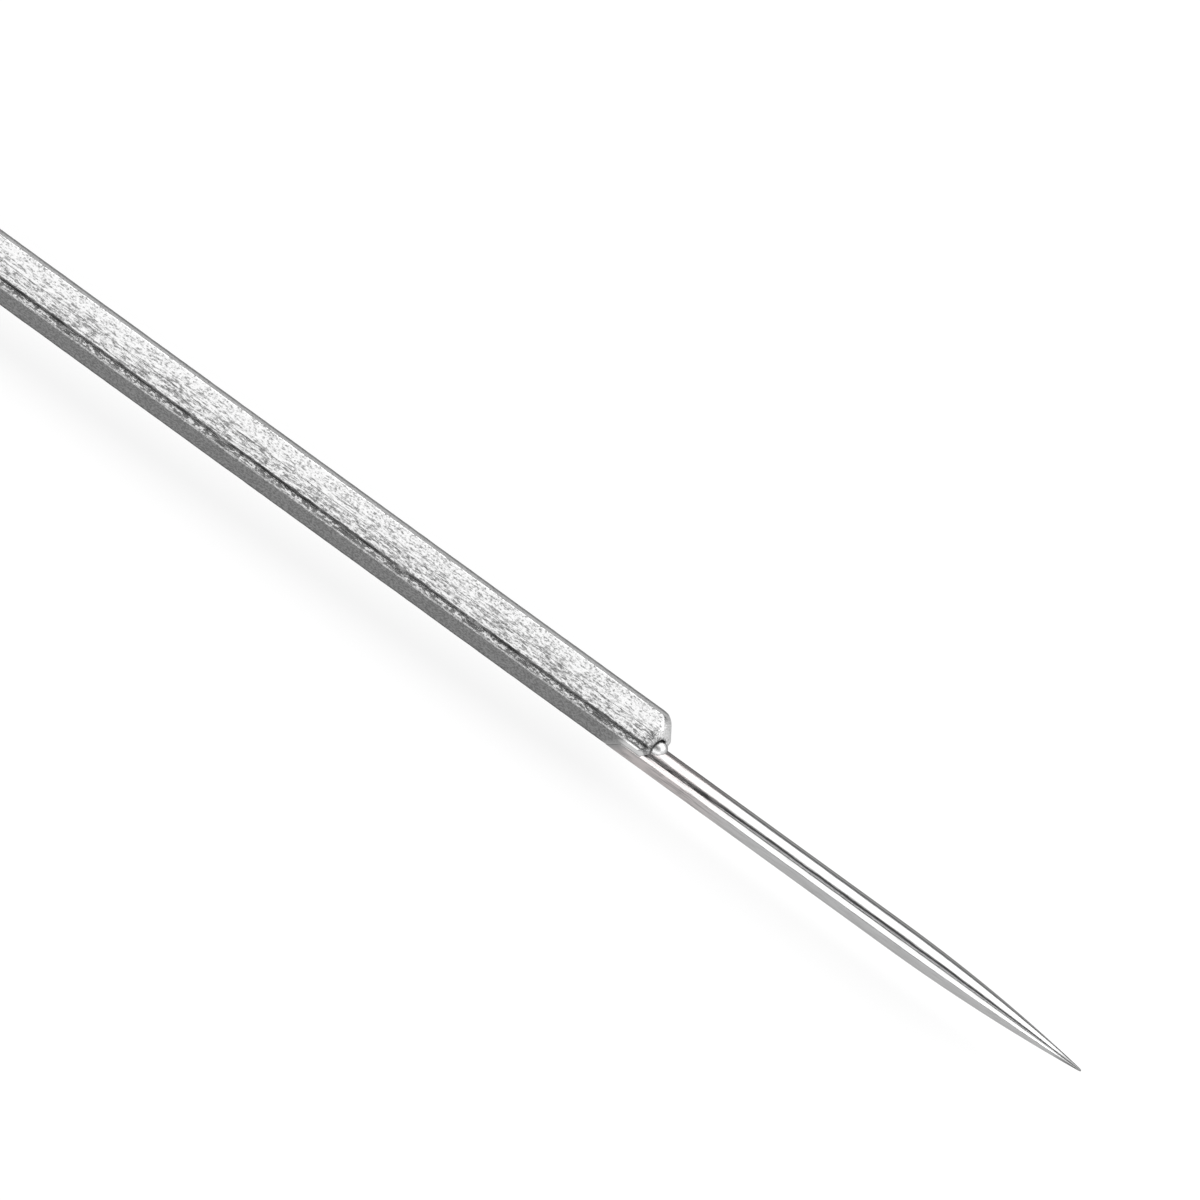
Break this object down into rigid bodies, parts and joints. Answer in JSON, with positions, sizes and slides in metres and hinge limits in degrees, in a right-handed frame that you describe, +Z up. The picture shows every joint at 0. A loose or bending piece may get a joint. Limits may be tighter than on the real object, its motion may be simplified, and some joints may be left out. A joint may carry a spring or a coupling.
{
  "type": "endodontic hand file",
  "caption": "Long endodontic hand file: octagonal satin shank, offset needle-pointed polished blade brazed into its nose, ribbed six-sided handle and a sliding silicone depth stop.",
  "frame": {"origin": "bottom centre of the whole file's box: on the surface that the handle's lowest flat lies on, halfway along the file", "axes": "+X along the file towards the blade's point, +Z up from the handle's lowest flat, -Y is the side with the shank's groove and the blade's flute"},
  "size_m": [0.074, 0.0054, 0.0048],
  "materials": {
    "polished_steel": "polished hardened steel",
    "silver_braze": "bright silver braze, as flowed",
    "satin_steel": "grit-blasted satin with fine lengthwise streaks",
    "pin_steel": "drawn",
    "core_plastic": "moulded",
    "collar_plastic": "moulded, glossy",
    "grip_silicone": "moulded, matt",
    "ring_plastic": "moulded, glossy",
    "cap_plastic": "moulded, glossy",
    "stop_silicone": "moulded, matt"
  },
  "bodies": {
    "file": {"shank": "satin_steel", "file_blade": "polished_steel", "braze_joint": "silver_braze", "tail_pin": "pin_steel", "handle_core": "core_plastic", "front_collar": "collar_plastic", "grip_sleeve": "grip_silicone", "size_ring": "ring_plastic", "end_cap": "cap_plastic"},
    "depth_stop": {"depth_stop": "stop_silicone"}
  },
  "joints": [
    {"name": "stop_slide", "type": "slide", "parent": "file", "child": "depth_stop", "axis": [1, 0, 0], "range_m": [0, 0.0345]}
  ]
}
